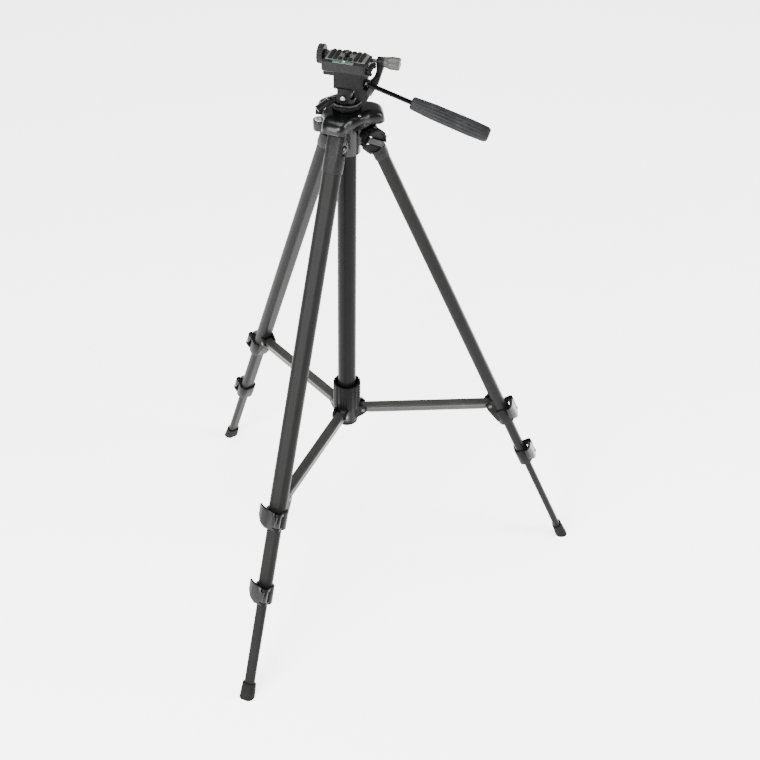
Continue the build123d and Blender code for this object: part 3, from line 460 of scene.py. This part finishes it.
def sideways(azimuth):
    return Vector((-sin(radians(azimuth)), cos(radians(azimuth)), 0))


# Moves a mesh from its own frame to an origin, with its Z and X turned to two directions.
def placed(mesh, origin, axis, across):
    axis, across = axis.normalized(), across.normalized()
    third = axis.cross(across)
    turn = Matrix((across, third, axis)).transposed().to_4x4()
    mesh.transform(Matrix.Translation(origin) @ turn)
    return mesh


def joined(meshes):
    work = bmesh.new()
    for mesh in meshes:
        work.from_mesh(mesh)
    mesh = bpy.data.meshes.new("shape")
    work.to_mesh(mesh)
    work.free()
    mesh.set_sharp_from_angle(angle=radians(40))
    return mesh


columnX = -82.0  # the column's place along X, in millimetres
headAzimuth = -22.4  # where the head's handle points, in degrees


# The CAD shape with its sharp edges eased, as a moulding has them.
def eased(node, radius, corner=32.0, steps=2):
    mesh = nodes[node].data.copy()
    work = bmesh.new()
    work.from_mesh(mesh)
    bmesh.ops.remove_doubles(work, verts=work.verts, dist=0.000003)
    bmesh.ops.dissolve_limit(work, angle_limit=radians(0.4), verts=work.verts, edges=work.edges)
    work.to_mesh(mesh)
    work.free()
    worker = bpy.data.objects.new("work", mesh)
    bpy.context.scene.collection.objects.link(worker)
    bevel = worker.modifiers.new("ease", "BEVEL")
    bevel.width = radius
    bevel.segments = steps
    bevel.limit_method = "ANGLE"
    bevel.angle_limit = radians(corner)
    bevel.miter_outer = "MITER_ARC"
    done = settled(worker)
    done.shade_smooth()
    done.set_sharp_from_angle(angle=radians(corner))
    return done


easing = {
    "crown_casting": 0.9, "brace_hub": 0.5, "tilt_block": 0.9, "pan_housing": 0.6, "pan_base": 0.3,
    "platform": 0.45, "release_lever": 0.4, "column_lock_knob": 0.35, "crank_dial": 0.35, "crank_arm": 0.4,
    "quick_release_plate": 0.3, "camera_screw": 0.2, "handle_rod": 0.15, "shroud_end_stop": 0.2,
    "level_vial": 0.3, "leg_pivot_bolts": 0.4, "pan_lock_lever": 0.6,
}
for leg in legNames:
    easing[leg + "_leg_top_fitting"] = 0.6
    easing[leg + "_upper_lock_collar"] = 0.6
    easing[leg + "_lower_lock_collar"] = 0.6
    easing[leg + "_upper_lock_lever"] = 0.6
    easing[leg + "_lower_lock_lever"] = 0.6
    easing[leg + "_foot"] = 0.8
    easing[leg + "_brace"] = 0.35
for node, radius in easing.items():
    shape = eased(node, radius * mm)
    finish = {"quick_release_plate": plateFinish, "platform": platformFinish}.get(node) or finishOf(node)
    piece(node + "_look", shape, bodyOf[node], finish, (node,))
print("mouldings eased")


# Stands a new shape in for a CAD node.
def standIn(node, mesh, finish=None):
    piece(node + "_look", mesh, bodyOf[node], finish or finishOf(node), (node,))


# Adds a small detail to the body of a CAD node.
def detail(name, node, mesh, slot, finish):
    piece(name, mesh, bodyOf[node], finish)


# Handle grip
grip = {
    "outline": [
        (0, 160.5), (3, 160.5), (3, 62), (6.5, 62), (8.2, 64),
        (9.9, 92), (10.4, 141), (9.6, 161.5), (7.4, 165), (0, 165),
    ],
    "rounding": 1.2,
    "steps": 140,
    "flutes": {
        "Flutes": 14.0, "Depth": 0.0012, "Sharpness": 2.5,
        "Low": 0.066, "High": 0.160, "Ease": 0.006, "Inner": 0.0055,
    },
    "start": (24, -5.0, 783.0),
}
gripBlank = spun(grip["outline"], grip["rounding"], grip["steps"])
gripShape = fluted.run(gripBlank, {**grip["flutes"], "Material": finishes["grip_rubber"]})
gripStart = spot(headAzimuth, *grip["start"])
standIn("handle_grip", placed(gripShape, gripStart, handleAxis, sideways(headAzimuth)))

# Front knob of the side tilt axis
frontKnob = {
    "outline": [(0, -13.4), (2.5, -13.4), (2.5, 0), (12.4, 0), (12.4, 7.6), (8.6, 7.6), (8.2, 6.2), (0, 6.2)],
    "rounding": 0.7,
    "steps": 220,
    "flutes": {
        "Flutes": 22.0, "Depth": 0.0010, "Sharpness": 1.4,
        "Low": 0.0001, "High": 0.0075, "Ease": 0.0009, "Inner": 0.0095,
    },
    "start": (-33.4, 16.0, 803.2),
}
headOut = outward(headAzimuth)
knobBlank = spun(frontKnob["outline"], frontKnob["rounding"], frontKnob["steps"])
knobShape = fluted.run(knobBlank, {**frontKnob["flutes"], "Material": platformFinish})
knobShape = placed(knobShape, spot(headAzimuth, *frontKnob["start"]), -headOut, sideways(headAzimuth))
standIn("side_tilt_front_knob", knobShape, platformFinish)

# Lobed lock knob at the back
backKnob = {
    "outline": [
        (0, -22.9), (2.5, -22.9), (2.5, 0), (6.6, 0), (6.9, 4),
        (8.3, 7.5), (8.3, 18.6), (6.4, 20), (0, 20),
    ],
    "rounding": 1.4,
    "steps": 140,
    "flutes": {
        "Flutes": 5.0, "Depth": 0.0021, "Sharpness": 2.2,
        "Low": 0.0045, "High": 0.0215, "Ease": 0.002, "Inner": 0.0042,
    },
    "start": (42.9, 16.0, 803.2),
}
lobeBlank = spun(backKnob["outline"], backKnob["rounding"], backKnob["steps"])
lobeShape = fluted.run(lobeBlank, {**backKnob["flutes"], "Material": finishes["grey_plastic"]})
lobeStart = spot(headAzimuth, *backKnob["start"])
standIn("side_tilt_lock_knob", placed(lobeShape, lobeStart, headOut, sideways(headAzimuth)))

# Rubber bars of the camera plate, the middle ones parted by the screw
pads = {
    "pitch": 6.4, "middle": (0, 2.6, 812.4), "rounding": 0.55,
    "long": (4.3, 24, 2.0), "short": (4.3, 5.2, 2.0), "shortAcross": 9.4,
}
pitch = pads["pitch"] * mm
rows = []
for size, count, first, across in (
    (pads["long"], 2, -3, 0),
    (pads["long"], 2, 2, 0),
    (pads["short"], 3, -1, pads["shortAcross"]),
    (pads["short"], 3, -1, -pads["shortAcross"]),
):
    settings = {"Count": count, "Start": (first * pitch, across * mm, 0), "Step": (pitch, 0, 0)}
    rows.append(row.run(bar(size, pads["rounding"]), {**settings, "Material": finishes["rubber"]}))
standIn("plate_pads", placed(joined(rows), spot(headAzimuth, *pads["middle"]), Vector(up), headOut))

# Reddish washer between the rear arm and the knob
washer = {"outline": [(2.6, 0), (6.6, 0), (6.6, 0.9), (2.6, 0.9), (2.6, 0)], "start": (42.0, 16.0, 803.2)}
washerStart = spot(headAzimuth, *washer["start"])
washerShape = placed(spun(washer["outline"], 0.1), washerStart, headOut, sideways(headAzimuth))
detail("tilt_washer", "tilt_block", washerShape, slotOf["tilt_block"], washerFinish)

# Marks and bubbles of the two levels
tube = {
    "middle": (0, -14.8, 809.6), "first": -3.4, "apart": 6.4,
    "line": [(3.0, 0), (3.28, 0), (3.28, 0.4), (3.0, 0.4), (3.0, 0)],
    "bubble": (2.7, 1.5, 0.9), "bubbleMiddle": (0.8, -14.8, 812.1),
}
lineShape = spun(tube["line"], 0.05, 48)
settings = {"Count": 2, "Start": (0, 0, tube["first"] * mm), "Step": (0, 0, tube["apart"] * mm)}
lines = row.run(lineShape, {**settings, "Material": mark})
lines = placed(lines, spot(headAzimuth, *tube["middle"]), headOut, Vector(up))
detail("tube_vial_lines", "platform", lines, slotOf["platform"], mark)


def bubble(sizes):
    work = bmesh.new()
    bmesh.ops.create_uvsphere(work, u_segments=24, v_segments=14, radius=mm)
    for corner in work.verts:
        corner.co = Vector(value * size for value, size in zip(corner.co, sizes))
    return closed(work)


tubeBubble = placed(bubble(tube["bubble"]), spot(headAzimuth, *tube["bubbleMiddle"]), Vector(up), headOut)
detail("tube_vial_bubble", "platform", tubeBubble, slotOf["platform_vial"], bubbleFinish)
eye = {
    "middle": (34.0, 0, 729.4), "ring": [(2.7, 0), (3.3, 0), (3.3, 0.15), (2.7, 0.15), (2.7, 0)],
    "bubble": (1.8, 1.8, 0.5), "bubbleMiddle": (33.2, 0.6, 729.3),
}
eyeRing = placed(spun(eye["ring"], 0.03, 48), spot(180, *eye["middle"]), Vector(up), outward(0))
detail("round_vial_ring", "crown_casting", eyeRing, slotOf["crown_casting"], mark)
eyeBubble = placed(bubble(eye["bubble"]), spot(180, *eye["bubbleMiddle"]), Vector(up), outward(0))
detail("round_vial_bubble", "crown_casting", eyeBubble, slotOf["level_vial"], bubbleFinish)
print("head details made")

# Crown's hood: three lobes and a round top in one skin, its rim arched over the crank
hood = {
    "lobe": 46.2, "half": 18.0, "round": 32.4, "mouth": 20.2, "top": 744.0, "rim": 727.6, "arch": 5.6,
    "archAzimuth": 300.0, "archWidth": 34.0, "around": 240, "down": 22, "bead": 0.75, "beadSides": 8,
    "beadIn": 0.35, "lip": ((0, 2.0), (1, 8.0)), "lipDrop": 0.2, "throat": 4,
}


def hoodRadius(azimuth):
    away = min(abs((azimuth - leg + 180) % 360 - 180) for leg in (0, 120, 240))
    a = radians(away)
    lobe = ((cos(a) / hood["lobe"]) ** 5 + (sin(a) / hood["half"]) ** 5) ** -0.2
    return (lobe ** 8 + hood["round"] ** 8) ** 0.125


def hoodRim(azimuth):
    away = abs((azimuth - hood["archAzimuth"] + 180) % 360 - 180) / hood["archWidth"]
    return hood["rim"] + hood["arch"] * max(0.0, 1 - away * away) ** 2


def hoodPoint(azimuth, part):
    radius, rim = hoodRadius(azimuth), hoodRim(azimuth)
    out = hood["mouth"] + (radius - hood["mouth"]) * sin(part * pi / 2) ** 0.75
    share = (out - hood["mouth"]) / (radius - hood["mouth"])
    return spot(azimuth, out, 0, rim + (hood["top"] - rim) * max(0.0, 1 - share ** 3) ** (1 / 3))


def hoodSkin():
    work = bmesh.new()
    around, down = hood["around"], hood["down"]
    loops = []
    for j in range(down + 1):
        loops.append([work.verts.new(hoodPoint(i * 360 / around, j / down)) for i in range(around)])
    for rise, shrink in hood["lip"]:
        inner = []
        for i in range(around):
            azimuth = i * 360 / around
            height = hoodRim(azimuth) - hood["lipDrop"] + rise
            inner.append(work.verts.new(spot(azimuth, hoodRadius(azimuth) - shrink, 0, height)))
        loops.append(inner)
    throat = hood["top"] - hood["throat"]
    loops.append([work.verts.new(spot(i * 360 / around, hood["mouth"], 0, throat)) for i in range(around)])
    for upper, lower in zip(loops, loops[1:] + loops[:1]):
        for i in range(around):
            k = (i + 1) % around
            work.faces.new((upper[i], upper[k], lower[k], lower[i]))
    return closed(work)


def hoodBead():
    work = bmesh.new()
    sides, around = hood["beadSides"], hood["around"]
    loops = []
    for i in range(around):
        azimuth = i * 360 / around
        loop = []
        for k in range(sides):
            a = 2 * pi * k / sides
            out = hoodRadius(azimuth) - hood["beadIn"] + hood["bead"] * cos(a)
            height = hoodRim(azimuth) + hood["bead"] * (0.6 + sin(a))
            loop.append(work.verts.new(spot(azimuth, out, 0, height)))
        loops.append(loop)
    for first, second in zip(loops, loops[1:] + loops[:1]):
        for k in range(sides):
            m = (k + 1) % sides
            work.faces.new((first[k], first[m], second[m], second[k]))
    return closed(work)


# Chrome clip of the crank arm's hinge
crank = {
    "azimuth": 300.0, "across": 13.3, "height": 709.4, "face": 44.0, "hinge": 12.0, "angle": 150.0,
    "knuckle": (1.5, 3.4, 3.4), "knuckleOut": 4.6,
}


def dialPoint(out, radius, angle):
    b = radians(angle)
    return spot(crank["azimuth"], out, crank["across"] + radius * cos(b), crank["height"] + radius * sin(b))


crankOut = outward(crank["azimuth"])
hingeDirection = (dialPoint(0, 1, crank["angle"] - 90) - dialPoint(0, 0, 0)).normalized()
settings = {"Count": 2, "Radius": crank["knuckleOut"] * mm, "Material": finishes["chrome"]}
knuckles = ring.run(bar(crank["knuckle"], 0.5), settings)
hingePoint = dialPoint(crank["face"] - 1.3, crank["hinge"], crank["angle"])
knuckles = placed(knuckles, hingePoint, crankOut, hingeDirection)
detail("crank_hinge_clip", "crank_dial", knuckles, slotOf["crank_dial"], finishes["chrome"])

# Ribs across each lever's paddle, screws at the leg pivots
splay, pivotOut, pivotUp = radians(22.8), 32.0, 703.1
legAzimuth = {"right": 0.0, "left": 120.0, "front": 240.0}
collarTop = {
    "upper": {leg: 484.5 for leg in legNames},
    "lower": {"right": 570.5, "left": 608.5, "front": 593.5},
}
outer = {"upper": (24.0, 17.0), "lower": (19.7, 13.4)}
ribs = {
    "size": (7.0, 0.9, 0.9), "count": 6, "step": 2.3, "first": 3.5,
    "wall": 3, "stand": 4.3, "inset": 1.5, "slant": (-4.6, -7.0), "start": 3.0,
}
pivotScrew = {"outline": [(0, 1.5), (2.0, 1.45), (3.3, 0.9), (3.6, 0), (0, 0)], "out": 12.7}


def legPoint(leg, along, out, across):
    a = legAzimuth[leg]
    reach = pivotOut + along * sin(splay) + out * cos(splay)
    return spot(a, reach, across, pivotUp - along * cos(splay) + out * sin(splay))


for leg in legNames:
    for stage in ("upper", "lower"):
        width, depth = outer[stage]
        top, face, far = collarTop[stage][leg], depth / 2 + ribs["wall"], width / 2 + ribs["wall"]
        start = legPoint(leg, top + ribs["first"], face + ribs["stand"], ribs["inset"] - far)
        down = legPoint(leg, top + 1, 0, 0) - legPoint(leg, top, 0, 0)
        slant = legPoint(leg, 0, *ribs["slant"]) - legPoint(leg, 0, 0, 0)
        line = {"Start": (ribs["start"] * mm, 0, 0), "Step": (0, 0, ribs["step"] * mm)}
        settings = {"Count": ribs["count"], **line, "Material": finishes["gloss_black"]}
        made = row.run(bar(ribs["size"], 0.4), settings)
        made = placed(made, start, down, slant)
        lever = leg + "_" + stage + "_lock_lever"
        detail(lever + "_ribs", lever, made, slotOf[lever], finishes["gloss_black"])
    domes = spun(pivotScrew["outline"], 0.3, 40)
    domes.transform(Matrix.Rotation(pi / 2, 4, "Y"))
    heads = ring.run(domes, {"Count": 2, "Radius": pivotScrew["out"] * mm, "Material": finishes["steel"]})
    cross = outward(legAzimuth[leg]).cross(sideways(legAzimuth[leg]))
    heads = placed(heads, spot(legAzimuth[leg], pivotOut, 0, pivotUp), cross, sideways(legAzimuth[leg]))
    detail(leg + "_pivot_screws", "leg_pivot_bolts", heads, slotOf["leg_pivot_bolts"], finishes["steel"])
print("ribs and screws made")

# Bright caps on the tilt axle's ends, and three screws that hold the hood
capFinish = metal("cap_bright", up, (0.10, 0.10, 0.10), (0.26, 0.26, 0.255), 0.22, 0.1)
cap = {
    "outline": [(0, 1.7), (1.9, 1.6), (3.3, 0.9), (3.6, -0.6), (0, -0.6)],
    "tiltEnd": 17.9, "tiltHeight": 764.0,
}
axleCap = spun(cap["outline"], 0.4, 40)
axleCap.transform(Matrix.Rotation(pi / 2, 4, "Y"))
caps = ring.run(axleCap, {"Count": 2, "Radius": cap["tiltEnd"] * mm, "Material": capFinish})
caps = placed(caps, spot(headAzimuth, 0, 0, cap["tiltHeight"]), headOut, sideways(headAzimuth))
detail("tilt_axle_caps", "tilt_block", caps, slotOf["leg_pivot_bolts"], capFinish)
hoodScrew = {
    "outline": [(0, 1.6), (1.5, 1.5), (2.5, 0.9), (2.7, -2.0), (0, -2.0)],
    "azimuth": 300.0, "out": 26.5, "count": 3, "height": 743.0, "lean": 14.0,
}
screwShape = spun(hoodScrew["outline"], 0.3, 40)
screwShape.transform(Matrix.Rotation(radians(hoodScrew["lean"]), 4, "Y"))
settings = {"Count": hoodScrew["count"], "Radius": hoodScrew["out"] * mm, "Material": capFinish}
screws = ring.run(screwShape, settings)
screws = placed(screws, spot(0, 0, 0, hoodScrew["height"]), Vector(up), outward(hoodScrew["azimuth"]))
detail("hood_screws", "crown_casting", screws, slotOf["leg_pivot_bolts"], capFinish)

detail("crown_hood", "crown_casting", hoodSkin(), slotOf["crown_casting"], finishes["gloss_black"])
detail("crown_rim", "crown_casting", hoodBead(), slotOf["crown_casting"], finishes["gloss_black"])
print("crown hood made")

for node, thing in nodes.items():
    thing.data.materials.clear()
    thing.data.materials.append(finishOf(node))

# Floor, light and camera
view = {
    "place": (-0.255, -1.834, 1.730),
    "azimuth": 84.61,
    "down": 37.43,
    "lens": 78.8,
    "shift": (0.0435, -0.0024),
}


def camera():
    data = bpy.data.cameras.new("camera")
    data.lens = view["lens"]
    data.shift_x, data.shift_y = view["shift"]
    made = bpy.data.objects.new("camera", data)
    made.location = view["place"]
    made.rotation_euler = (radians(90 - view["down"]), 0, radians(view["azimuth"] - 90))
    bpy.context.scene.collection.objects.link(made)
    bpy.context.scene.camera = made


def floor():
    make = Finish("floor_white")
    tone = make.noise(make.place(), 3.0, 2.0)
    colour = make.mixed(tone, (0.90, 0.90, 0.895), (0.92, 0.92, 0.915))
    material = make.finish(colour, 0.9, Emission_Color=(1, 1, 1, 1), Emission_Strength=3.0)
    mesh = bpy.data.meshes.new("floor")
    reach = 60.0
    corners = [(-reach, -reach, 0), (reach, -reach, 0), (reach, reach, 0), (-reach, reach, 0)]
    mesh.from_pydata(corners, [], [(0, 1, 2, 3)])
    mesh.materials.append(material)
    made = bpy.data.objects.new("floor", mesh)
    bpy.context.scene.collection.objects.link(made)


def softbox(name, place, target, size, power):
    data = bpy.data.lights.new(name, "AREA")
    data.shape = "RECTANGLE"
    data.size, data.size_y = size
    data.energy = power
    made = bpy.data.objects.new(name, data)
    made.location = place
    made.rotation_euler = (Vector(target) - Vector(place)).to_track_quat("-Z", "Y").to_euler()
    bpy.context.scene.collection.objects.link(made)


def studio():
    world = bpy.data.worlds.new("studio")
    world.use_nodes = True
    world.node_tree.nodes["Background"].inputs["Color"].default_value = (1, 1, 1, 1)
    world.node_tree.nodes["Background"].inputs["Strength"].default_value = 0.6
    bpy.context.scene.world = world
    middle = (-0.08, 0, 0.5)
    softbox("key", (-1.3, -2.0, 1.9), middle, (0.9, 1.2), 150)
    softbox("strip", (-1.8, -1.5, 0.95), middle, (0.45, 1.5), 60)
    softbox("right", (2.0, -0.5, 1.5), middle, (0.8, 1.4), 75)
    softbox("top", (-0.1, 0.0, 2.8), middle, (1.4, 1.4), 70)


camera()
floor()
studio()
print("stage set")
